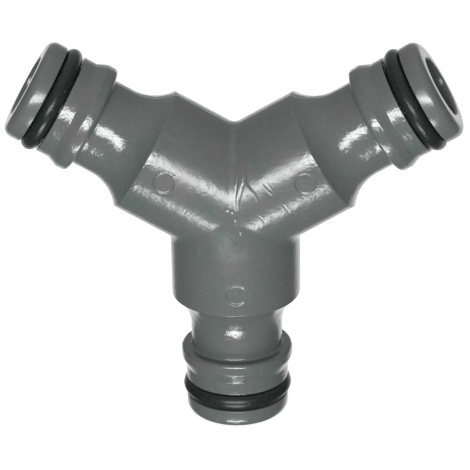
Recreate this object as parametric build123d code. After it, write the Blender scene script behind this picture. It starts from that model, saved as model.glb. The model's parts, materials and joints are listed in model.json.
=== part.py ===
from build123d import *

import os
from math import cos, radians, sin

# Hose splitter: one moulded plastic Y with three identical male quick-connect spigots.
# Each spigot carries one rubber O-ring in a groove behind its nose. There are no valves or
# other moving pieces: the three waterways are open and meet in the middle of the body.
#
# Frame: the origin is where the axes of the three waterways meet. The inlet points down, -Z.
# The outlets point up and out to the left, -X, and to the right, +X. The front faces -Y.
# All sizes are in millimetres and all angles in degrees.

# ---- Centre body ------------------------------------------------------------------------
body_diameter = 20.0
shoulder_distance = 15.8  # junction centre to the edge where a spigot's flare begins
shoulder_rounding = 0.2
outlet_angle = 60.0  # tilt of each outlet's axis from straight up

# ---- Waterways --------------------------------------------------------------------------
bore_diameter = 9.6
bore_length = 14.8  # straight stretch, from the mouth inwards
core_diameter = 9.0  # where the waterways meet: each one narrows from its straight stretch to this
mouth_rounding = 0.4

# ---- Spigots, from the free end inwards ---------------------------------------------------
nose_diameter = 16.0  # also the diameter of the guide land behind the O-ring
nose_length = 3.0
nose_rounding = 1.5
groove_edge_rounding = 0.12
guide_length = 2.1
ramp_length = 1.6
ramp_rounding = 0.5
collar_diameter = 17.4
collar_land_length = 1.8
collar_edge_rounding = 0.6
neck_diameter = 14.2
neck_length = 3.4
neck_rounding = 0.35
flare_length = 5.7  # neck to shoulder

# ---- O-rings -----------------------------------------------------------------------------
ring_seat_diameter = 11.86  # floor of the groove, which the ring is stretched over
ring_section = 2.62
ring_flattening = 0.05  # how far the stretched ring flattens against the groove's floor
ring_side_gap = 0.14  # room for the squeezed ring to spread, on each side of it in the groove

# ---- Ejector-pin marks on the front --------------------------------------------------------
mark_diameter = 3.4
mark_depth = 0.22  # below the crown of the arm
mark_setback = 3.5  # from the shoulder edge to the middle of the mark
outlet_mark_shift = 0.1  # the outlets' marks sit this far above the arm's centre line
mark_side_shift = 0.5  # all three marks sit this far to the right of the arm's middle

# ---- Worked out from the sizes above -------------------------------------------------------
body_radius = body_diameter / 2
bore_radius = bore_diameter / 2
core_radius = core_diameter / 2
nose_radius = nose_diameter / 2
collar_radius = collar_diameter / 2
neck_radius = neck_diameter / 2
seat_radius = ring_seat_diameter / 2

neck_start = shoulder_distance + flare_length
collar_back = neck_start + neck_length
collar_front = collar_back + collar_land_length
ramp_foot = collar_front + ramp_length
groove_back = ramp_foot + guide_length
groove_width = ring_section + 2 * ring_side_gap
groove_front = groove_back + groove_width
arm_length = groove_front + nose_length

inlet_angle = 180.0
arm_angles = {
    "inlet": inlet_angle,
    "left_outlet": -outlet_angle,
    "right_outlet": outlet_angle,
}


def along_arm(shape, angle):
    """Turns a shape built along +Z until it lies along the arm at that angle from +Z."""
    return Rot(0, angle, 0) * shape


def revolved(outline):
    """Spins an outline, drawn with its radius as X and its length as Y, around +Z."""
    return revolve(Plane.XZ * outline, Axis.Z)


def arm_outline():
    """Half of an arm without its bore, from the junction centre to the spigot's end face."""
    shoulder = (body_radius, shoulder_distance)
    neck = (neck_radius, neck_start)
    # Each corner of the spigot, with the radius that it is rounded to.
    corners = [
        ((neck_radius, collar_back), neck_rounding),
        ((collar_radius, collar_back), collar_edge_rounding),
        ((collar_radius, collar_front), ramp_rounding),
        ((nose_radius, ramp_foot), ramp_rounding),
        ((nose_radius, groove_back), groove_edge_rounding),
        ((seat_radius, groove_back), 0),
        ((seat_radius, groove_front), 0),
        ((nose_radius, groove_front), groove_edge_rounding),
        ((nose_radius, arm_length), nose_rounding),
    ]
    body_side = Polyline((0, 0), (body_radius, 0), shoulder)
    flare = TangentArc(neck, shoulder, tangent=(0, -1))
    spigot = Polyline(neck, *[place for place, rounding in corners], (0, arm_length), (0, 0))
    outline = make_face(body_side + flare + spigot)
    for place, rounding in corners + [(shoulder, shoulder_rounding)]:
        if rounding > 0:
            corner = outline.vertices().sort_by_distance((*place, 0))[0]
            outline = fillet(corner, rounding)
    return outline


def waterway_outline():
    """Half of what one waterway takes out of its arm: a straight bore, then a slight taper."""
    bore_end = arm_length - bore_length
    return make_face(
        Polyline(
            (0, 0),
            (core_radius, 0),
            (bore_radius, bore_end),
            (bore_radius, arm_length),
            (0, arm_length),
            (0, 0),
        )
    )


def ejector_mark(name):
    """The flat-ended pin that presses a mark into the front of one arm."""
    angle = arm_angles[name]
    distance = shoulder_distance - mark_setback
    shift = 0 if name == "inlet" else outlet_mark_shift
    along = radians(angle)
    up = radians(abs(angle) - 90)
    side = 1 if angle > 0 else -1
    x = distance * sin(along) + side * shift * sin(up) + mark_side_shift
    z = distance * cos(along) + shift * cos(up)
    pin_end = body_radius - mark_depth
    pin = Rot(90, 0, 0) * Cylinder(mark_diameter / 2, body_radius)
    return Pos(x, -pin_end - body_radius / 2, z) * pin


def splitter_body():
    """Three equal arms joined where they meet, bored through and marked by ejector pins."""
    arm = revolved(arm_outline())
    waterway = revolved(waterway_outline())
    body = Part() + [along_arm(arm, angle) for angle in arm_angles.values()]
    body -= [along_arm(waterway, angle) for angle in arm_angles.values()]
    # The mouths are the outermost circles of the bore's size, one on each arm.
    circles = body.edges().filter_by(GeomType.CIRCLE)
    bore_circles = circles.filter_by(lambda edge: abs(edge.radius - bore_radius) < 0.001)
    mouths = bore_circles.sort_by_distance((0, 0, 0))[-len(arm_angles) :]
    body = fillet(mouths, mouth_rounding)
    return body - [ejector_mark(name) for name in arm_angles]


def o_ring():
    """A round section, flattened where it grips the groove's floor, closed into a ring."""
    section_radius = ring_section / 2
    middle = (groove_back + groove_front) / 2
    section = Pos(seat_radius + section_radius - ring_flattening, middle) * Circle(section_radius)
    within_seat = Pos(seat_radius / 2, middle) * Rectangle(seat_radius, groove_width)
    return revolved(section - within_seat)


def main():
    os.makedirs("parts", exist_ok=True)
    export_step(splitter_body(), "parts/splitter_body.step")
    ring = o_ring()
    for name, angle in arm_angles.items():
        export_step(along_arm(ring, angle), f"parts/{name}_o_ring.step")


main()
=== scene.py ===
import json
from math import atan, cos, pi, radians, sin, tan

import bmesh
import bpy
import numpy as np
from mathutils import Matrix, Vector


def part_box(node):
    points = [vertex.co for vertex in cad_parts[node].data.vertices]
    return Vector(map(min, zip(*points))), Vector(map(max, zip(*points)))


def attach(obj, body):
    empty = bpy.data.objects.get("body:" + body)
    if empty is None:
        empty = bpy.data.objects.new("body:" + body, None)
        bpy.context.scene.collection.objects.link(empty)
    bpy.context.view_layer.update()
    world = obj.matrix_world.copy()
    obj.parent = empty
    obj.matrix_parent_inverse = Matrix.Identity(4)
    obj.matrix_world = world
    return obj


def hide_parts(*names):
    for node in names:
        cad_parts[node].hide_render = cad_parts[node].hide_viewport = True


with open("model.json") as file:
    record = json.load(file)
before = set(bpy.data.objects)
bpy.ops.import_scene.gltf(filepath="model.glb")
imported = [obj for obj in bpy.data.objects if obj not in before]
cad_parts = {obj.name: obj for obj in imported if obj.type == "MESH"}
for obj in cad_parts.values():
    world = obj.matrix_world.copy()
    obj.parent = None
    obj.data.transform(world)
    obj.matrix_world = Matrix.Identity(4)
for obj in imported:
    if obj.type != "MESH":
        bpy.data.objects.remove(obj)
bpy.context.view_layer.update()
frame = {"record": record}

# Hose splitter: a moulded plastic Y with three male quick-connect spigots, and an O-ring on
# each. The CAD body and rings are replaced by finer meshes of the same sizes, which add what
# the mould leaves behind: the parting line, ejector and gate marks, flow lines and soft corners.
#
# Lengths in this file are in millimetres until they go into Blender, which takes metres.
# The origin is where the three waterways meet. The inlet points down, -Z, the outlets up and
# out to -X and +X, and the front faces -Y.
MM = 0.001

mounts = {mount["name"]: mount for mount in frame["record"]["mounts"]}
ARM_ANGLES = {"inlet": 180, "left_outlet": -60, "right_outlet": 60}  # degrees from straight up

# ---- Sizes taken from the frame ----------------------------------------------------------------
body_low, body_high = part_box("splitter_body")
ring_low, ring_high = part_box("inlet_o_ring")
arm_length = -body_low.z / MM
body_radius = body_high.y / MM
bore_radius = mounts["inlet_waterway"]["dims"]["r_mm"]
collar_radius = mounts["inlet_spigot"]["dims"]["r_mm"]
ring_outer_radius = ring_high.x / MM
ring_section = (ring_high.z - ring_low.z) / MM
ring_distance = -(ring_high.z + ring_low.z) / 2 / MM  # junction centre to the ring's middle

# ---- Sizes of the spigot, from the free end inwards --------------------------------------------
nose_radius = 8.0
nose_length = 3.0
nose_rounding = 1.5
mouth_rounding = 0.4
groove_width = 2.9
groove_edge_rounding = 0.12
seat_radius = 5.93
guide_length = 2.1
ramp_length = 1.6
ramp_rounding = 0.5
collar_land_length = 1.8
collar_edge_rounding = 0.6
neck_radius = 7.1
neck_length = 3.4
neck_rounding = 0.35
flare_length = 5.7
shoulder_rounding = 0.2
bore_length = 14.8
core_radius = 4.5

groove_front = arm_length - nose_length
groove_back = groove_front - groove_width
ramp_foot = groove_back - guide_length
collar_front = ramp_foot - ramp_length
collar_back = collar_front - collar_land_length
neck_start = collar_back - neck_length
shoulder_distance = neck_start - flare_length
bore_end = arm_length - bore_length
core_taper = (bore_radius - core_radius) / bore_end

# ---- How finely the pieces are meshed ----------------------------------------------------------
COLUMNS = 160  # around each arm
COLUMN_CROWDING = 0.65  # how much closer the columns are at the parting line
JUNCTION_REACH = 7.6  # rows this near the centre lean over to meet the neighbouring arms
JUNCTION_ROWS = 16
CORE_REACH = 4.0  # the same inside the waterways
CORE_ROWS = 5
CORNER_STEPS = 5
FLARE_STEPS = 14
LONGEST_RUN = 0.7  # along an arm's outline
FINE_CUTS = 5  # how many times an edge is cut under a fine mark
BODY_WELD_REACH = 0.002
RING_SEGMENTS = 160
SECTION_SEGMENTS = 56
RING_WELD_REACH = 0.001

# ---- What the mould leaves on the surface ------------------------------------------------------
crotch_softness = 0.9  # reach of the soft corner between two arms
softening_passes = 3
parting_width = 0.26
parting_height = 0.05
flash_width = 0.12  # the O-rings' own parting line
flash_height = 0.03
mark_radius = 1.74  # of the ejector marks
mark_wall = 0.30
mark_depth = 0.22
mark_setback = 3.5
outlet_mark_shift = 0.1
mark_side_shift = 0.5
moat_radius = 1.86  # of the faint ring around each ejector mark
moat_width = 0.10
moat_depth = 0.02
gate_radius = 1.3
gate_depth = 0.25
gate_nub_radius = 0.45
gate_nub_height = 0.20
ON_SURFACE = 0.05  # a point this near a tube's radius is on the tube

# Lines on the front, each through points (x, z), with its depth and its half width.
FLOW_LINES = [
    (
        [(1.75, 8.3), (2.0, 7.2), (2.2, 6.0), (2.8, 5.3), (3.4, 4.65), (3.75, 3.9), (3.85, 3.2)],
        0.11,
        0.12,
    ),
    ([(1.95, 6.9), (1.75, 5.8), (1.4, 4.5), (1.1, 3.2), (0.95, 2.1)], 0.09, 0.12),
    ([(1.0, 6.6), (0.8, 5.4), (0.55, 3.6), (0.6, 2.1)], 0.07, 0.11),
    ([(4.6, 6.1), (5.35, 5.2), (6.25, 4.3)], 0.065, 0.08),
    ([(5.1, 6.4), (5.8, 5.6), (6.55, 4.8)], 0.035, 0.07),
    ([(7.7, 2.8), (8.15, 2.15), (8.6, 1.5)], 0.05, 0.08),
    ([(4.1, 1.0), (4.55, 0.4), (5.0, -0.25)], 0.035, 0.08),
    ([(-6.9, 1.9), (-7.2, 1.1)], 0.04, 0.08),
]
# Pits and specks on the front, each at (x, z), with its radius and its depth.
SPECKS = [
    (-0.68, 1.96, 0.19, 0.09),
    (0.07, 1.64, 0.17, 0.07),
    (0.50, 0.04, 0.20, 0.10),
    (0.49, -0.35, 0.15, 0.06),
    (1.22, -1.96, 0.17, 0.09),
    (10.75, 3.95, 0.13, 0.03),
    (-8.45, 7.4, 0.12, 0.03),
    (1.5, 8.3, 0.16, 0.05),
]
LINE_END = 0.02  # the share of a line's length at which its depth stops fading

# The finer mesh reaches this far past the gate and ejector marks, and this far from the middle
# of a speck or a line.
GATE_MARGIN = 1.0
EJECTOR_MARGIN = 0.7
SPECK_REACH = 0.8
LINE_REACH = 0.7


# ---- Outlines ----------------------------------------------------------------------------------
def rounded(corners):
    """The points of an outline whose corners, each (length, radius, rounding), are rounded."""
    points = []
    for index, (length, radius, rounding) in enumerate(corners):
        corner = np.array((length, radius))
        if rounding == 0:
            points.append(corner)
            continue
        before = np.array(corners[index - 1][:2]) - corner
        after = np.array(corners[index + 1][:2]) - corner
        before /= np.linalg.norm(before)
        after /= np.linalg.norm(after)
        half_corner = np.arccos(np.clip(before @ after, -1, 1)) / 2
        middle = (before + after) / np.linalg.norm(before + after)
        centre = corner + middle * rounding / sin(half_corner)
        start = corner + before * rounding / tan(half_corner) - centre
        end = corner + after * rounding / tan(half_corner) - centre
        turn = pi - 2 * half_corner
        for step in range(CORNER_STEPS + 1):
            share = step / CORNER_STEPS
            spoke = (sin((1 - share) * turn) * start + sin(share * turn) * end) / sin(turn)
            points.append(centre + spoke)
    return points


def divided(points, longest):
    """The same outline with no run longer than that."""
    result = [points[0]]
    for start, end in zip(points, points[1:]):
        runs = max(1, int(np.ceil(np.linalg.norm(end - start) / longest)))
        result += [start + (end - start) * run / runs for run in range(1, runs + 1)]
    return result


def flare_corners():
    """The arc that swells from the neck to the shoulder, as corners with no rounding."""
    rise = body_radius - neck_radius
    turn = 2 * atan(rise / flare_length)
    arc_radius = flare_length / sin(turn)
    corners = []
    for step in range(1, FLARE_STEPS + 1):
        angle = turn * (1 - step / FLARE_STEPS)
        length = neck_start - arc_radius * sin(angle)
        corners.append((length, neck_radius + arc_radius * (1 - cos(angle)), 0))
    return corners


def arm_outline():
    """The outline of an arm, outside and in, as rows of (radius, lean, length).

    It starts on the outside at the junction, runs out to the free end and comes back along
    the waterway. Lean is 1 in the rows that meet the neighbouring arms, and fades to 0.
    """
    corners = [
        (JUNCTION_REACH, body_radius, 0),
        (shoulder_distance, body_radius, shoulder_rounding),
        *flare_corners(),
        (collar_back, neck_radius, neck_rounding),
        (collar_back, collar_radius, collar_edge_rounding),
        (collar_front, collar_radius, ramp_rounding),
        (ramp_foot, nose_radius, ramp_rounding),
        (groove_back, nose_radius, groove_edge_rounding),
        (groove_back, seat_radius, 0),
        (groove_front, seat_radius, 0),
        (groove_front, nose_radius, groove_edge_rounding),
        (arm_length, nose_radius, nose_rounding),
        (arm_length, bore_radius, mouth_rounding),
        (bore_end, bore_radius, 0),
        (CORE_REACH, core_radius + core_taper * CORE_REACH, 0),
    ]
    rows = []
    for row in range(JUNCTION_ROWS):
        share = row / JUNCTION_ROWS
        rows.append((body_radius, 1 - share, JUNCTION_REACH * share))
    rows += [(radius, 0, length) for length, radius in divided(rounded(corners), LONGEST_RUN)]
    for row in range(1, CORE_ROWS + 1):
        share = 1 - row / CORE_ROWS
        length = CORE_REACH * share
        rows.append((core_radius + core_taper * length, 1 - share, length))
    return rows


# ---- Node trees --------------------------------------------------------------------------------
class Graph:
    """A node tree that is built by calling node() and linked as it goes."""

    def __init__(self, tree):
        self.tree = tree

    def node(self, kind, inputs=(), **settings):
        """Adds a node. Each input is a value or another socket, by name or by place."""
        node = self.tree.nodes.new(kind)
        for label, value in settings.items():
            setattr(node, label, value)
        for label, value in dict(inputs).items():
            if isinstance(value, bpy.types.NodeSocket):
                self.tree.links.new(value, node.inputs[label])
            else:
                node.inputs[label].default_value = value
        return node

    def math(self, operation, *values, clamp=False):
        """One step of arithmetic on values or sockets."""
        node = self.node("ShaderNodeMath", enumerate(values), operation=operation, use_clamp=clamp)
        return node.outputs[0]

    def vector(self, operation, *values, output=0, **inputs):
        """One step of arithmetic on vectors."""
        inputs = {**dict(enumerate(values)), **inputs}
        node = self.node("ShaderNodeVectorMath", inputs, operation=operation)
        return node.outputs[output]

    def parts_of(self, vector):
        """The X, Y and Z of a vector."""
        return self.node("ShaderNodeSeparateXYZ", {0: vector}).outputs

    def vector_of(self, x=0, y=0, z=0):
        """The vector with that X, Y and Z."""
        return self.node("ShaderNodeCombineXYZ", {0: x, 1: y, 2: z}).outputs[0]

    def mix(self, share, first, second):
        """The colour that lies between two colours, at that share of the second."""
        node = self.node("ShaderNodeMix", {0: share, 6: first, 7: second}, data_type="RGBA")
        return node.outputs[2]

    def between(self, value, low, high):
        """0 up to low, 1 from high, and a straight rise in between."""
        node = self.node("ShaderNodeMapRange", {"Value": value, "From Min": low, "From Max": high})
        return node.outputs[0]

    def noise(self, place, size, detail=2.0, roughness=0.5):
        """Noise whose blotches are about that size in metres."""
        inputs = {"Vector": place, "Detail": detail, "Roughness": roughness}
        inputs["Scale"] = self.math("DIVIDE", 1, size)
        return self.node("ShaderNodeTexNoise", inputs).outputs[0]


def new_group(name, kind, inputs, outputs):
    """An empty node group with named sockets, its graph and the values that it is given."""
    group = bpy.data.node_groups.new(name, kind)
    for in_out, sockets in (("INPUT", inputs), ("OUTPUT", outputs)):
        for label, socket_kind in sockets.items():
            socket_type = "NodeSocket" + socket_kind
            group.interface.new_socket(label, in_out=in_out, socket_type=socket_type)
    graph = Graph(group)
    return graph, graph.node("NodeGroupInput").outputs


def end_in_meshes(graph, given, geometry):
    """Ends a geometry node tree in real meshes with its material on them."""
    real = graph.node("GeometryNodeRealizeInstances", {"Geometry": geometry})
    painted = graph.node(
        "GeometryNodeSetMaterial",
        {"Geometry": real.outputs[0], "Material": given["Material"]},
    )
    graph.node("NodeGroupOutput", {"Geometry": painted.outputs[0]})
    return graph.tree


def grown(name, tree, start_mesh, values):
    """Runs a geometry node tree on a mesh and returns the plain mesh that comes out."""
    start = bpy.data.objects.new(name + "_start", start_mesh)
    bpy.context.scene.collection.objects.link(start)
    modifier = start.modifiers.new("grow", "NODES")
    modifier.node_group = tree
    for item in tree.interface.items_tree:
        if item.in_out == "INPUT" and item.name in values:
            modifier[item.identifier] = values[item.name]
    bpy.context.view_layer.update()
    evaluated = start.evaluated_get(bpy.context.evaluated_depsgraph_get())
    mesh = bpy.data.meshes.new_from_object(evaluated)
    mesh.name = name
    bpy.data.objects.remove(start)
    return mesh


def turned_arms_tree():
    """Turns an outline's rows into equal arms around the Y axis that meet edge to edge."""
    t, given = new_group(
        "turned_arms",
        "GeometryNodeTree",
        {
            "Outline": "Geometry",
            "Columns": "Int",
            "Rows": "Int",
            "Arms": "Int",
            "Column crowding": "Float",
            "Core radius": "Float",
            "Core taper": "Float",
            "Material": "Material",
        },
        {"Geometry": "Geometry"},
    )
    grid = t.node(
        "GeometryNodeMeshGrid",
        {
            "Size X": 1.0,
            "Size Y": 1.0,
            "Vertices X": t.math("ADD", given["Columns"], 1),
            "Vertices Y": given["Rows"],
        },
    )
    position = t.node("GeometryNodeInputPosition").outputs[0]
    grid_x, grid_y = t.parts_of(position)[:2]
    last_row = t.math("SUBTRACT", given["Rows"], 1)
    row = t.math("ROUND", t.math("MULTIPLY", t.math("ADD", grid_y, 0.5), last_row))
    sample = t.node(
        "GeometryNodeSampleIndex",
        {
            "Geometry": given["Outline"],
            "Value": position,
            "Index": row,
        },
        data_type="FLOAT_VECTOR",
        domain="POINT",
    )
    radius, lean, length = t.parts_of(sample.outputs[0])

    # The columns crowd together at the parting line, a quarter turn from the front.
    even = t.math("MULTIPLY", grid_x, 2 * pi)
    crowding = t.math("MULTIPLY", given["Column crowding"], 0.5)
    shift = t.math("MULTIPLY", t.math("SINE", t.math("MULTIPLY", even, 2)), crowding)
    angle = t.math("ADD", even, shift)
    sine = t.math("SINE", angle)

    # A row leans out by its lean times the distance at which this column meets the next arm.
    # Of the rows that lean, those near the core's radius are inside the waterway.
    slant = t.math("MULTIPLY", t.math("ABSOLUTE", sine), tan(pi / 6))
    in_core = t.math("LESS_THAN", radius, t.math("MULTIPLY", given["Core radius"], 1.5))
    taper = t.math("MULTIPLY", given["Core taper"], in_core)
    start_radius = t.math("SUBTRACT", radius, t.math("MULTIPLY", taper, length))
    meeting = t.math(
        "DIVIDE",
        t.math("MULTIPLY", slant, start_radius),
        t.math("SUBTRACT", 1, t.math("MULTIPLY", slant, taper)),
    )
    lean_out = t.math("MULTIPLY", lean, meeting)
    leant_radius = t.math("ADD", radius, t.math("MULTIPLY", taper, lean_out))
    point = t.vector_of(
        t.math("MULTIPLY", leant_radius, sine),
        t.math("MULTIPLY", t.math("MULTIPLY", leant_radius, t.math("COSINE", angle)), -1),
        t.math("ADD", length, lean_out),
    )
    arm = t.node("GeometryNodeSetPosition", {"Geometry": grid.outputs[0], "Position": point})
    spots = t.node("GeometryNodePoints", {"Count": given["Arms"]})
    step = t.math("DIVIDE", 2 * pi, given["Arms"])
    index = t.node("GeometryNodeInputIndex").outputs[0]
    turn = t.math("ADD", t.math("MULTIPLY", index, step), pi)
    arms = t.node(
        "GeometryNodeInstanceOnPoints",
        {
            "Points": spots.outputs[0],
            "Instance": arm.outputs[0],
            "Rotation": t.vector_of(y=turn),
        },
    )
    real = t.node("GeometryNodeRealizeInstances", {"Geometry": arms.outputs[0]})
    welded = t.node(
        "GeometryNodeMergeByDistance",
        {"Geometry": real.outputs[0], "Distance": BODY_WELD_REACH * MM},
    )
    return end_in_meshes(t, given, welded.outputs[0])


def ring_tree():
    """An O-ring around Z: a round section swept around, with its flash line and its flat seat."""
    t, given = new_group(
        "o_ring",
        "GeometryNodeTree",
        {
            "Ring radius": "Float",
            "Section radius": "Float",
            "Seat radius": "Float",
            "Flash width": "Float",
            "Flash height": "Float",
            "Segments": "Int",
            "Section segments": "Int",
            "Material": "Material",
        },
        {"Geometry": "Geometry"},
    )
    path = t.node(
        "GeometryNodeCurvePrimitiveCircle",
        {"Resolution": given["Segments"], "Radius": given["Ring radius"]},
    )
    section = t.node(
        "GeometryNodeCurvePrimitiveCircle",
        {"Resolution": given["Section segments"], "Radius": given["Section radius"]},
    )
    swept = t.node(
        "GeometryNodeCurveToMesh", {"Curve": path.outputs[0], "Profile Curve": section.outputs[0]}
    )
    x, y, z = t.parts_of(t.node("GeometryNodeInputPosition").outputs[0])
    flat = t.vector_of(x, y)
    reach = t.vector("LENGTH", flat, output="Value")
    away = t.math("DIVIDE", t.math("ABSOLUTE", z), given["Flash width"])
    peak = t.math("MAXIMUM", t.math("SUBTRACT", 1, away), 0)
    ridge = t.math("MULTIPLY", peak, given["Flash height"])
    outside = t.math("GREATER_THAN", reach, given["Ring radius"])
    raised = t.math("ADD", reach, t.math("MULTIPLY", ridge, outside))
    seated = t.math("MAXIMUM", raised, given["Seat radius"])
    moved = t.vector("SCALE", flat, Scale=t.math("DIVIDE", seated, reach))
    target = t.vector("ADD", moved, t.vector_of(z=z))
    shaped = t.node(
        "GeometryNodeSetPosition", {"Geometry": swept.outputs[0], "Position": target}
    )
    return end_in_meshes(t, given, shaped.outputs[0])


# ---- The moulded body --------------------------------------------------------------------------
def arm_axis(angle):
    """The direction of the arm at that many degrees from straight up, as (x, z)."""
    return np.array((sin(radians(angle)), cos(radians(angle))))


AXES = np.array([arm_axis(angle) for angle in ARM_ANGLES.values()])


def mark_places():
    """Where the ejector marks sit on the front, as (x, z)."""
    places = []
    for name, angle in ARM_ANGLES.items():
        axis = arm_axis(angle)
        up = np.array((0.0, 1.0)) - axis * axis[1]
        if name == "inlet":
            shift = np.zeros(2)
        else:
            shift = up / np.linalg.norm(up) * outlet_mark_shift
        places.append(axis * (shoulder_distance - mark_setback) + shift + (mark_side_shift, 0))
    return places


def distance_to_line(x, z, points):
    """How far each (x, z) is from a line through points, and how far along it, from 0 to 1."""
    nearest = np.full(x.shape, np.inf)
    along = np.zeros(x.shape)
    runs = len(points) - 1
    for run, (start, end) in enumerate(zip(points, points[1:])):
        start, end = np.array(start), np.array(end)
        step = end - start
        share = ((x - start[0]) * step[0] + (z - start[1]) * step[1]) / (step @ step)
        share = np.clip(share, 0, 1)
        away = np.hypot(x - start[0] - share * step[0], z - start[1] - share * step[1])
        along = np.where(away < nearest, (run + share) / runs, along)
        nearest = np.minimum(nearest, away)
    return nearest, along


def needs_finer_mesh(centre):
    """Whether a face of the body is under an ejector or gate mark, a flow line or a speck."""
    x, y, z = centre / MM
    well_out = 0.6 * body_radius
    if y > well_out and np.hypot(x, z) < gate_radius + GATE_MARGIN:
        return True
    if y > -well_out:
        return False
    marks_reach = moat_radius + EJECTOR_MARGIN
    if any(np.hypot(x - mark_x, z - mark_z) < marks_reach for mark_x, mark_z in mark_places()):
        return True
    if any(np.hypot(x - speck_x, z - speck_z) < SPECK_REACH for speck_x, speck_z, *_ in SPECKS):
        return True
    spot = np.array([x]), np.array([z])
    return any(distance_to_line(*spot, line)[0][0] < LINE_REACH for line, *_ in FLOW_LINES)


def refine(mesh):
    """Cuts the faces under the fine marks into small ones, and turns every face outwards."""
    form = bmesh.new()
    form.from_mesh(mesh)
    faces = [f for f in form.faces if needs_finer_mesh(np.array(f.calc_center_median()))]
    edges = list({edge for face in faces for edge in face.edges})
    bmesh.ops.subdivide_edges(form, edges=edges, cuts=FINE_CUTS, use_grid_fill=True)
    bmesh.ops.recalc_face_normals(form, faces=form.faces)
    form.to_mesh(mesh)
    form.free()


def arm_places(co):
    """For each point, its distance along each arm's axis and away from it."""
    along = co[:, [0, 2]] @ AXES.T
    away = np.empty_like(along)
    for arm, (ax, az) in enumerate(AXES):
        off_axis = np.hypot(co[:, 0] - along[:, arm] * ax, co[:, 2] - along[:, arm] * az)
        away[:, arm] = np.hypot(off_axis, co[:, 1])
    return along, away


def outward(co, axis, along):
    """Unit vectors from an arm's axis to each point."""
    spoke = co.copy()
    spoke[:, 0] -= along * axis[0]
    spoke[:, 2] -= along * axis[1]
    return spoke / np.linalg.norm(spoke, axis=1, keepdims=True)


def on_centre_tube(co):
    """Which points lie on the thick tubes short of the shoulders, and each point's own arm."""
    along, away = arm_places(co)
    own = along.argmax(1)
    rows = np.arange(len(co))
    near = np.abs(away[rows, own] - body_radius) < ON_SURFACE
    return near & (along[rows, own] < shoulder_distance - shoulder_rounding), own


def make_round(co, chosen, own):
    """Puts the points of the finer mesh back on the round tube that they belong to."""
    along, away = arm_places(co)
    for arm, axis in enumerate(AXES):
        mine = chosen & (own == arm)
        spoke = outward(co[mine], axis, along[mine, arm])
        centre = np.zeros((mine.sum(), 3))
        centre[:, 0] = along[mine, arm] * axis[0]
        centre[:, 2] = along[mine, arm] * axis[1]
        co[mine] = centre + spoke * body_radius


def soften_crotches(co, chosen):
    """Fills the corner between two arms a little, more where it is deeper."""
    for _ in range(softening_passes):
        along, away = arm_places(co)
        gap = np.where(along > -1e-6, away - body_radius, np.inf)
        order = gap.argsort(1)
        rows = np.arange(len(co))
        first, second = order[:, 0], order[:, 1]
        near, far = gap[rows, first], gap[rows, second]
        paired = chosen & np.isfinite(far) & (far < 2 * crotch_softness)
        index = np.nonzero(paired)[0]
        spokes = []
        for rank in (first, second):
            spoke = np.zeros((len(index), 3))
            for arm, axis in enumerate(AXES):
                mine = rank[index] == arm
                spoke[mine] = outward(co[index[mine]], axis, along[index[mine], arm])
            spokes.append(spoke)
        depth = 2 * (1 - (spokes[0] * spokes[1]).sum(1))
        reach = np.maximum(crotch_softness * depth, 1e-6)
        near, far = near[index], far[index]
        overlap = np.maximum(reach - (far - near), 0) / reach
        share = np.clip(0.5 + 0.5 * (far - near) / reach, 0, 1)[:, None]
        level = near - overlap**2 * reach / 4
        slope = share * spokes[0] + (1 - share) * spokes[1]
        slope /= np.linalg.norm(slope, axis=1, keepdims=True)
        co[index] -= slope * level[:, None]


def press_ejector_marks(co, chosen):
    """Flat round marks on the front of each arm, with a crisp wall and a faint ring around."""
    front = chosen & (co[:, 1] < 0)
    floor = -(body_radius - mark_depth)
    half_step = 0.06  # about half the spacing of the finer mesh
    for mark_x, mark_z in mark_places():
        dx, dz = co[:, 0] - mark_x, co[:, 2] - mark_z
        away = np.hypot(dx, dz)
        near = np.nonzero(front & (away < moat_radius + 0.5))[0]
        for rim in (mark_radius - mark_wall, mark_radius):
            close = near[np.abs(away[near] - rim) < half_step]
            pull = rim / away[close]
            co[close, 0] = mark_x + dx[close] * pull
            co[close, 2] = mark_z + dz[close] * pull
            away[close] = rim
        share = np.clip((mark_radius - away[near]) / mark_wall, 0, 1)
        share = share * share * (3 - 2 * share)
        moat = moat_depth * np.exp(-(((away[near] - moat_radius) / moat_width) ** 2))
        surface = co[near, 1] + moat
        co[near, 1] = np.where(surface < floor, surface + share * (floor - surface), surface)


def press_gate_mark(co, chosen):
    """The dished spot at the middle of the back, with the stub of the gate in it."""
    away = np.hypot(co[:, 0], co[:, 2])
    # The high powers give the dish and the stub flat middles and steep sides.
    dish = gate_depth * np.exp(-((away / gate_radius) ** 6))
    nub = gate_nub_height * np.exp(-((away / gate_nub_radius) ** 4))
    back = chosen & (co[:, 1] > 0)
    co[back, 1] -= (dish - nub)[back]


def carve_flow_lines(co, chosen):
    """Fine creases and specks near the middle of the front."""
    front = chosen & (co[:, 1] < 0)
    x, z = co[:, 0], co[:, 2]
    carved = np.zeros(len(co))
    for line, depth, width in FLOW_LINES:
        away, along = distance_to_line(x, z, line)
        ends = np.sin(np.clip(along, LINE_END, 1 - LINE_END) * pi) ** 0.5
        carved += depth * ends * np.exp(-((away / width) ** 2))
    for speck_x, speck_z, radius, depth in SPECKS:
        away = np.hypot(x - speck_x, z - speck_z)
        carved += depth * np.exp(-((away / radius) ** 2))
    co[front, 1] += carved[front]


def raise_parting_line(co):
    """The thin ridge where the two halves of the mould met, around the body's XZ plane."""
    along, away = arm_places(co)
    own = along.argmax(1)
    rows = np.arange(len(co))
    length, radius = along[rows, own], away[rows, own]
    half_wall = (neck_radius - bore_radius) / 2
    outside = radius > bore_radius + half_wall
    fade = np.clip((groove_back - length) / guide_length, 0, 1)
    ridge = parting_height * fade * np.clip(1 - np.abs(co[:, 1]) / parting_width, 0, 1)
    ridge[~outside] = 0
    for arm, axis in enumerate(AXES):
        mine = own == arm
        co[mine] += outward(co[mine], axis, along[mine, arm]) * ridge[mine, None]


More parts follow.
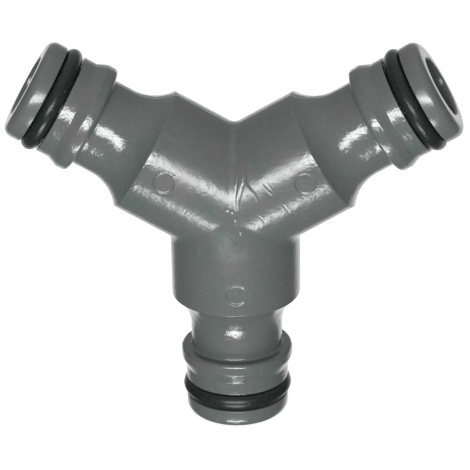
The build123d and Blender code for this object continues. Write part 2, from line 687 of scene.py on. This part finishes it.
def splitter_body(material):
    """The moulded body: three turned arms, then everything that the mould leaves on them."""
    rows = arm_outline()
    start = bpy.data.meshes.new("outline")
    start.from_pydata(
        [(radius * MM, lean, length * MM) for radius, lean, length in rows],
        [(row, row + 1) for row in range(len(rows) - 1)],
        [],
    )
    mesh = grown(
        "splitter_body_moulded",
        turned_arms_tree(),
        start,
        {
            "Columns": COLUMNS,
            "Rows": len(rows),
            "Arms": len(ARM_ANGLES),
            "Column crowding": COLUMN_CROWDING,
            "Core radius": core_radius * MM,
            "Core taper": core_taper,
            "Material": material,
        },
    )
    refine(mesh)
    co = np.empty(len(mesh.vertices) * 3)
    mesh.vertices.foreach_get("co", co)
    co = co.reshape(-1, 3) / MM
    chosen, own = on_centre_tube(co)
    make_round(co, chosen, own)
    soften_crotches(co, chosen)
    press_ejector_marks(co, chosen)
    press_gate_mark(co, chosen)
    carve_flow_lines(co, chosen)
    raise_parting_line(co)
    mesh.vertices.foreach_set("co", (co * MM).reshape(-1))
    mesh.update()
    return finished_piece(mesh, "splitter_body", sharp_angle=38)


def o_ring(name, angle, tree, material):
    """The rubber ring in the groove of the arm at that many degrees from straight up."""
    mesh = grown(
        name + "_o_ring_moulded",
        tree,
        bpy.data.meshes.new("nothing"),
        {
            "Ring radius": (ring_outer_radius - ring_section / 2) * MM,
            "Section radius": ring_section / 2 * MM,
            "Seat radius": seat_radius * MM,
            "Flash width": flash_width * MM,
            "Flash height": flash_height * MM,
            "Segments": RING_SEGMENTS,
            "Section segments": SECTION_SEGMENTS,
            "Material": material,
        },
    )
    out_along_arm = Matrix.Rotation(radians(angle), 4, "Y")
    mesh.transform(out_along_arm @ Matrix.Translation((0, 0, ring_distance * MM)))
    form = bmesh.new()
    form.from_mesh(mesh)
    bmesh.ops.remove_doubles(form, verts=form.verts, dist=RING_WELD_REACH * MM)
    bmesh.ops.recalc_face_normals(form, faces=form.faces)
    form.to_mesh(mesh)
    form.free()
    return finished_piece(mesh, name + "_o_ring", sharp_angle=60)


def finished_piece(mesh, node, sharp_angle):
    """A piece that stands for one CAD node, smooth but for edges sharper than the angle."""
    mesh.shade_smooth()
    mesh.set_sharp_from_angle(angle=radians(sharp_angle))
    piece = bpy.data.objects.new(mesh.name, mesh)
    bpy.context.scene.collection.objects.link(piece)
    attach(piece, "root")
    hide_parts(node)
    return piece


# ---- Finishes ----------------------------------------------------------------------------------
def cloudy_tone_group():
    """A colour that drifts between two tints, with flecks of a third."""
    g, given = new_group(
        "cloudy_tone",
        "ShaderNodeTree",
        {
            "Colour": "Color",
            "Other tint": "Color",
            "Fleck colour": "Color",
            "Cloud size": "Float",
            "Fleck size": "Float",
            "Fleck share": "Float",
        },
        {"Colour": "Color", "Clouds": "Float"},
    )
    place = g.node("ShaderNodeTexCoord").outputs["Object"]
    drift = g.noise(place, given["Cloud size"], detail=5.0, roughness=0.6)
    clouds = g.between(drift, low=0.34, high=0.66)
    drifting = g.mix(clouds, given["Colour"], given["Other tint"])
    spots = g.noise(place, given["Fleck size"], detail=3.0, roughness=0.6)
    flecks = g.between(spots, low=0.52, high=0.72)
    share = g.math("MULTIPLY", flecks, given["Fleck share"])
    flecked = g.mix(share, drifting, given["Fleck colour"])
    g.node("NodeGroupOutput", {"Colour": flecked, "Clouds": clouds})
    return g.tree


def moulded_grain_group():
    """The height of a moulded surface: a slow ripple and a fine grain."""
    g, given = new_group(
        "moulded_grain",
        "ShaderNodeTree",
        {
            "Ripple size": "Float",
            "Ripple height": "Float",
            "Grain size": "Float",
            "Grain height": "Float",
        },
        {"Height": "Float"},
    )
    place = g.node("ShaderNodeTexCoord").outputs["Object"]
    ripple = g.math("MULTIPLY", g.noise(place, given["Ripple size"]), given["Ripple height"])
    grain = g.noise(place, given["Grain size"], detail=3.0, roughness=0.6)
    raised = g.math("MULTIPLY", grain, given["Grain height"])
    g.node("NodeGroupOutput", {"Height": g.math("ADD", ripple, raised)})
    return g.tree


def handling_marks_group():
    """Masks of the hairline scratches and the dust that handling leaves."""
    g, given = new_group(
        "handling_marks",
        "ShaderNodeTree",
        {
            "Scratch spacing": "Float",
            "Scratch width": "Float",
            "Dust size": "Float",
            "Dust share": "Float",
        },
        {"Scratches": "Float", "Dust": "Float"},
    )
    place = g.node("ShaderNodeTexCoord").outputs["Object"]
    spacing = given["Scratch spacing"]
    scratches = 0
    for turn in SCRATCH_TURNS:
        turned = g.node("ShaderNodeMapping", {"Vector": place, "Rotation": turn}).outputs[0]
        across = g.parts_of(turned)[0]
        bends = g.noise(turned, g.math("MULTIPLY", spacing, 3.0))
        level = g.math("ADD", g.math("DIVIDE", across, spacing), g.math("MULTIPLY", bends, 1.2))
        away = g.math("PINGPONG", level, 1.0)
        line = g.math("SUBTRACT", 1, g.math("DIVIDE", away, given["Scratch width"]), clamp=True)
        breaks = g.noise(turned, g.math("MULTIPLY", spacing, 1.3), detail=1.0)
        line = g.math("MULTIPLY", line, g.between(breaks, low=0.56, high=0.66))
        scratches = g.math("MAXIMUM", scratches, line)
    specks = g.noise(place, given["Dust size"], roughness=0.7)
    dust = g.math("MULTIPLY", g.between(specks, low=0.66, high=0.74), given["Dust share"])
    g.node("NodeGroupOutput", {"Scratches": scratches, "Dust": dust})
    return g.tree


def worn_places_group():
    """A mask of the centre tubes and the noses, which rub against other things."""
    g, given = new_group(
        "worn_places",
        "ShaderNodeTree",
        {"Centre reach": "Float", "Nose start": "Float"},
        {"Worn": "Float"},
    )
    place = g.node("ShaderNodeTexCoord").outputs["Object"]
    reach = g.vector("LENGTH", place, output="Value")
    centre_end = g.math("MULTIPLY", given["Centre reach"], 1.2)
    centre = g.math("SUBTRACT", 1, g.between(reach, given["Centre reach"], centre_end))
    nose = g.between(reach, g.math("SUBTRACT", given["Nose start"], 1 * MM), given["Nose start"])
    g.node("NodeGroupOutput", {"Worn": g.math("MAXIMUM", centre, nose)})
    return g.tree


def pale_streak_group():
    """A mask along a line on the front, patchy and faded at its edges."""
    g, given = new_group(
        "pale_streak",
        "ShaderNodeTree",
        {"Start": "Vector", "End": "Vector", "Half width": "Float", "Patch size": "Float"},
        {"Streak": "Float"},
    )
    place = g.node("ShaderNodeTexCoord").outputs["Object"]
    flat = g.vector("MULTIPLY", place, (1, 0, 1))
    run = g.vector("SUBTRACT", given["End"], given["Start"])
    from_start = g.vector("SUBTRACT", flat, given["Start"])
    reach = g.vector("DOT_PRODUCT", from_start, run, output="Value")
    whole = g.vector("DOT_PRODUCT", run, run, output="Value")
    share = g.math("DIVIDE", reach, whole, clamp=True)
    off = g.vector("DISTANCE", from_start, g.vector("SCALE", run, Scale=share), output="Value")
    away = g.math("DIVIDE", off, given["Half width"])
    faded = g.math("SUBTRACT", 1, g.math("MULTIPLY", away, away), clamp=True)
    streak_patches = g.noise(place, given["Patch size"], detail=3.0, roughness=0.65)
    patchy = g.math("MULTIPLY", faded, g.between(streak_patches, low=0.36, high=0.62))
    in_front = g.math("LESS_THAN", g.parts_of(place)[1], 0)
    g.node("NodeGroupOutput", {"Streak": g.math("MULTIPLY", patchy, in_front)})
    return g.tree


DUST_COLOUR = (0.34, 0.33, 0.31, 1)
DUST_ROUGHNESS = 0.3  # added where the dust is thickest
SCRATCH_DEPTH = 0.004
SCRATCH_TURNS = [(0.3, 0.5, 0.2), (1.1, 2.0, 0.7), (2.2, 0.9, 1.6)]  # three ways that they run
RIPPLE_WORN_OFF = 0.5  # the share of the surface's height that wear takes away
CLOUDY_TONE = cloudy_tone_group()
MOULDED_GRAIN = moulded_grain_group()
HANDLING_MARKS = handling_marks_group()
WORN_PLACES = worn_places_group()
PALE_STREAK = pale_streak_group()
PALE_STREAK_COLOUR = (0.30, 0.31, 0.30, 1)
# Pale streaks on the front: from (x, z) to (x, z), half width, strength and size of the patches.
STREAKS = [
    ((1.75, 5.9), (1.15, 4.1), 0.24, 0.75, 0.8),
    ((1.15, 4.1), (0.72, 1.9), 0.26, 0.85, 0.8),
    ((0.55, 5.4), (0.38, 1.9), 0.20, 0.5, 0.8),
    ((-1.2, -3.4), (1.2, -5.4), 2.2, 0.08, 1.7),
    ((-0.9, -7.0), (-2.2, -2.6), 2.0, 0.06, 1.7),
]


def new_finish(name, tone, grain, marks, roughness, softer, shader, streaks=()):
    """A finish from the shared groups, each given its own values.

    Roughness is (lowest, highest, added in a scratch). Softer is added to it on the centre tubes
    and the noses. Shader holds the values that are the same all over.
    """
    material = bpy.data.materials.new(name)
    material.use_nodes = True
    g = Graph(material.node_tree)
    principled = g.tree.nodes["Principled BSDF"]
    for label, value in shader.items():
        principled.inputs[label].default_value = value
    toned = g.node("ShaderNodeGroup", tone, node_tree=CLOUDY_TONE).outputs
    grained = g.node("ShaderNodeGroup", grain, node_tree=MOULDED_GRAIN).outputs
    marked = g.node("ShaderNodeGroup", marks, node_tree=HANDLING_MARKS).outputs
    dust_and_streaks = g.mix(marked["Dust"], toned["Colour"], DUST_COLOUR)
    # Each pale streak lightens the colour towards a pale grey along its line, patchily.
    for start, end, half_width, strength, patch_size in streaks:
        line = {
            "Start": (start[0] * MM, 0, start[1] * MM),
            "End": (end[0] * MM, 0, end[1] * MM),
            "Half width": half_width * MM,
            "Patch size": patch_size * MM,
        }
        pale_mask = g.node("ShaderNodeGroup", line, node_tree=PALE_STREAK).outputs["Streak"]
        dust_and_streaks = g.mix(g.math("MULTIPLY", pale_mask, strength), dust_and_streaks, PALE_STREAK_COLOUR)
    low, high, scratched = roughness
    gloss = g.math("ADD", low, g.math("MULTIPLY", toned["Clouds"], high - low))
    gloss = g.math("ADD", gloss, g.math("MULTIPLY", marked["Scratches"], scratched))
    reaches = {"Centre reach": shoulder_distance * MM, "Nose start": groove_front * MM}
    worn = g.node("ShaderNodeGroup", reaches, node_tree=WORN_PLACES).outputs["Worn"]
    gloss = g.math("ADD", gloss, g.math("MULTIPLY", worn, softer))
    dulled = g.math("MULTIPLY", marked["Dust"], DUST_ROUGHNESS)
    gloss = g.math("ADD", gloss, dulled, clamp=True)
    groove = g.math("MULTIPLY", marked["Scratches"], -SCRATCH_DEPTH * MM)
    evened = g.math("SUBTRACT", 1, g.math("MULTIPLY", worn, RIPPLE_WORN_OFF))
    height = g.math("ADD", g.math("MULTIPLY", grained["Height"], evened), groove)
    bump = g.node("ShaderNodeBump", {"Height": height, "Strength": 1.0, "Distance": 1.0})
    for label, socket in (
        ("Base Color", dust_and_streaks),
        ("Roughness", gloss),
        ("Normal", bump.outputs["Normal"]),
    ):
        g.tree.links.new(socket, principled.inputs[label])
    return material


grey_plastic = new_finish(
    "moulded_grey_plastic",
    tone={
        "Colour": (0.051, 0.067, 0.062, 1),
        "Other tint": (0.067, 0.065, 0.065, 1),
        "Fleck colour": (0.078, 0.079, 0.075, 1),
        "Cloud size": 5.0 * MM,
        "Fleck size": 0.8 * MM,
        "Fleck share": 0.6,
    },
    grain={
        "Ripple size": 1.0 * MM,
        "Ripple height": 0.065 * MM,
        "Grain size": 0.36 * MM,
        "Grain height": 0.022 * MM,
    },
    marks={
        "Scratch spacing": 1.7 * MM,
        "Scratch width": 0.03,
        "Dust size": 0.30 * MM,
        "Dust share": 0.12,
    },
    roughness=(0.13, 0.19, 0.10),
    softer=0.07,
    shader={"IOR": 1.5},
    streaks=STREAKS,
)
black_rubber = new_finish(
    "black_seal_rubber",
    tone={
        "Colour": (0.0050, 0.0092, 0.0080, 1),
        "Other tint": (0.008, 0.0105, 0.0095, 1),
        "Fleck colour": (0.020, 0.022, 0.021, 1),
        "Cloud size": 2.5 * MM,
        "Fleck size": 0.35 * MM,
        "Fleck share": 0.5,
    },
    grain={
        "Ripple size": 1.1 * MM,
        "Ripple height": 0.010 * MM,
        "Grain size": 0.16 * MM,
        "Grain height": 0.005 * MM,
    },
    marks={
        "Scratch spacing": 1.2 * MM,
        "Scratch width": 0.03,
        "Dust size": 0.22 * MM,
        "Dust share": 0.35,
    },
    roughness=(0.24, 0.34, 0.08),
    softer=0,
    shader={"IOR": 1.5, "Specular IOR Level": 0.22},
)

# ---- The pieces --------------------------------------------------------------------------------
splitter_body(grey_plastic)
RING_TREE = ring_tree()
for arm_name, arm_angle in ARM_ANGLES.items():
    o_ring(arm_name, arm_angle, RING_TREE, black_rubber)

# ---- Floor, light and camera -------------------------------------------------------------------
# Lengths from here on are in metres.
FLOOR_REACH = 6.0
FLOOR_SHADES = [(0.74, 0.74, 0.735, 1), (0.765, 0.765, 0.765, 1)]
FLOOR_FIBRES = 0.004
FLOOR_GLOW = 0.62  # how much the camera sees it lightened
WHITE = (1, 1, 1, 1)

# How bright the room is to the sides, and what is added straight behind, in front and above.
ROOM_SIDES = 0.10
ROOM_BEHIND = 0.45
ROOM_FRONT = 0.45
ROOM_ABOVE = 0.95

# Each lamp's azimuth and elevation, its width and height, and its radiance.
LAMP_DISTANCE = 0.8
LAMPS = {
    "softbox": (-3, 8, 0.56, 0.23, 21.0),
    "low_panel": (-3, -50, 0.37, 0.17, 24.0),
    "lowest_panel": (-3, -70, 0.13, 0.07, 12.0),
    "rear_panel": (177, -24, 1.20, 0.90, 0.9),
}

VIEW_AZIMUTH = 2.87
VIEW_ELEVATION = 24.03
VIEW_DISTANCE = 0.3873
VIEW_ROLL = 0.925
VIEW_TARGET = Vector((-0.00004, 0, -0.00656))
VIEW_LENS = 191.4


def from_direction(azimuth, elevation, distance, target=(0, 0, 0)):
    """The point at that distance from a target, as seen at an azimuth and elevation."""
    azimuth, elevation = radians(azimuth), radians(elevation)
    flat = distance * cos(elevation)
    away = Vector((flat * sin(azimuth), -flat * cos(azimuth), distance * sin(elevation)))
    return Vector(target) + away


def pale_floor():
    """A large round sheet of pale card that the inlet's end stands on."""
    form = bmesh.new()
    bmesh.ops.create_circle(form, cap_ends=True, segments=96, radius=FLOOR_REACH)
    bmesh.ops.translate(form, verts=form.verts, vec=(0, 0, body_low.z))
    mesh = bpy.data.meshes.new("pale_floor")
    form.to_mesh(mesh)
    form.free()
    floor = bpy.data.objects.new("pale_floor", mesh)
    bpy.context.scene.collection.objects.link(floor)
    material = bpy.data.materials.new("pale_card")
    material.use_nodes = True
    g = Graph(material.node_tree)
    principled = g.tree.nodes["Principled BSDF"]
    place = g.node("ShaderNodeTexCoord").outputs["Object"]
    fibres = g.noise(place, FLOOR_FIBRES, detail=4.0, roughness=0.6)
    shade = g.mix(fibres, *FLOOR_SHADES)
    g.tree.links.new(shade, principled.inputs["Base Color"])
    principled.inputs["Roughness"].default_value = 0.9
    principled.inputs["Specular IOR Level"].default_value = 0.1
    principled.inputs["Emission Color"].default_value = WHITE
    seen = g.node("ShaderNodeLightPath").outputs["Is Camera Ray"]
    glow = g.math("MULTIPLY", seen, FLOOR_GLOW)
    g.tree.links.new(glow, principled.inputs["Emission Strength"])
    mesh.materials.append(material)
    # The panels that are lower than the floor shine up through it.
    floor.visible_shadow = False
    floor.visible_glossy = False


def soft_panel(name, place, width, height, radiance):
    """A rectangular light that faces the origin, as bright as its radiance says."""
    light = bpy.data.lights.new(name, "AREA")
    light.shape = "RECTANGLE"
    light.size = width
    light.size_y = height
    light.energy = radiance * pi * width * height
    lamp = bpy.data.objects.new(name, light)
    lamp.location = place
    lamp.rotation_euler = (-place).to_track_quat("-Z", "Y").to_euler()
    lamp.visible_camera = False
    bpy.context.scene.collection.objects.link(lamp)


def studio():
    """A room that is brightest in front, behind and above, and white where the camera sees it."""
    world = bpy.data.worlds.new("studio")
    world.use_nodes = True
    g = Graph(world.node_tree)
    direction = g.node("ShaderNodeTexCoord").outputs["Generated"]
    depth, height = g.parts_of(direction)[1:]
    front = g.math("MULTIPLY", depth, -1)
    room = ROOM_SIDES
    for along, added in ((depth, ROOM_BEHIND), (front, ROOM_FRONT), (height, ROOM_ABOVE)):
        share = g.math("POWER", g.math("MAXIMUM", along, 0), 2)
        room = g.math("ADD", room, g.math("MULTIPLY", share, added))
    seen = g.node("ShaderNodeLightPath").outputs["Is Camera Ray"]
    strength = g.math("MAXIMUM", room, seen)
    background = g.tree.nodes["Background"]
    background.inputs["Color"].default_value = WHITE
    g.tree.links.new(strength, background.inputs["Strength"])
    bpy.context.scene.world = world


def view_camera():
    """The camera, a little above the front and turned a little about its own axis."""
    camera = bpy.data.objects.new("camera", bpy.data.cameras.new("camera"))
    camera.data.lens = VIEW_LENS
    camera.data.sensor_width = 36
    camera.location = from_direction(VIEW_AZIMUTH, VIEW_ELEVATION, VIEW_DISTANCE, VIEW_TARGET)
    facing = (VIEW_TARGET - camera.location).to_track_quat("-Z", "Y").to_matrix()
    camera.rotation_euler = (facing @ Matrix.Rotation(radians(-VIEW_ROLL), 3, "Z")).to_euler()
    bpy.context.scene.collection.objects.link(camera)
    bpy.context.scene.camera = camera
    bpy.context.scene.view_settings.view_transform = "Standard"


pale_floor()
studio()
for lamp_name, (azimuth, elevation, width, height, radiance) in LAMPS.items():
    lamp_place = from_direction(azimuth, elevation, LAMP_DISTANCE)
    soft_panel(lamp_name, lamp_place, width, height, radiance)
view_camera()
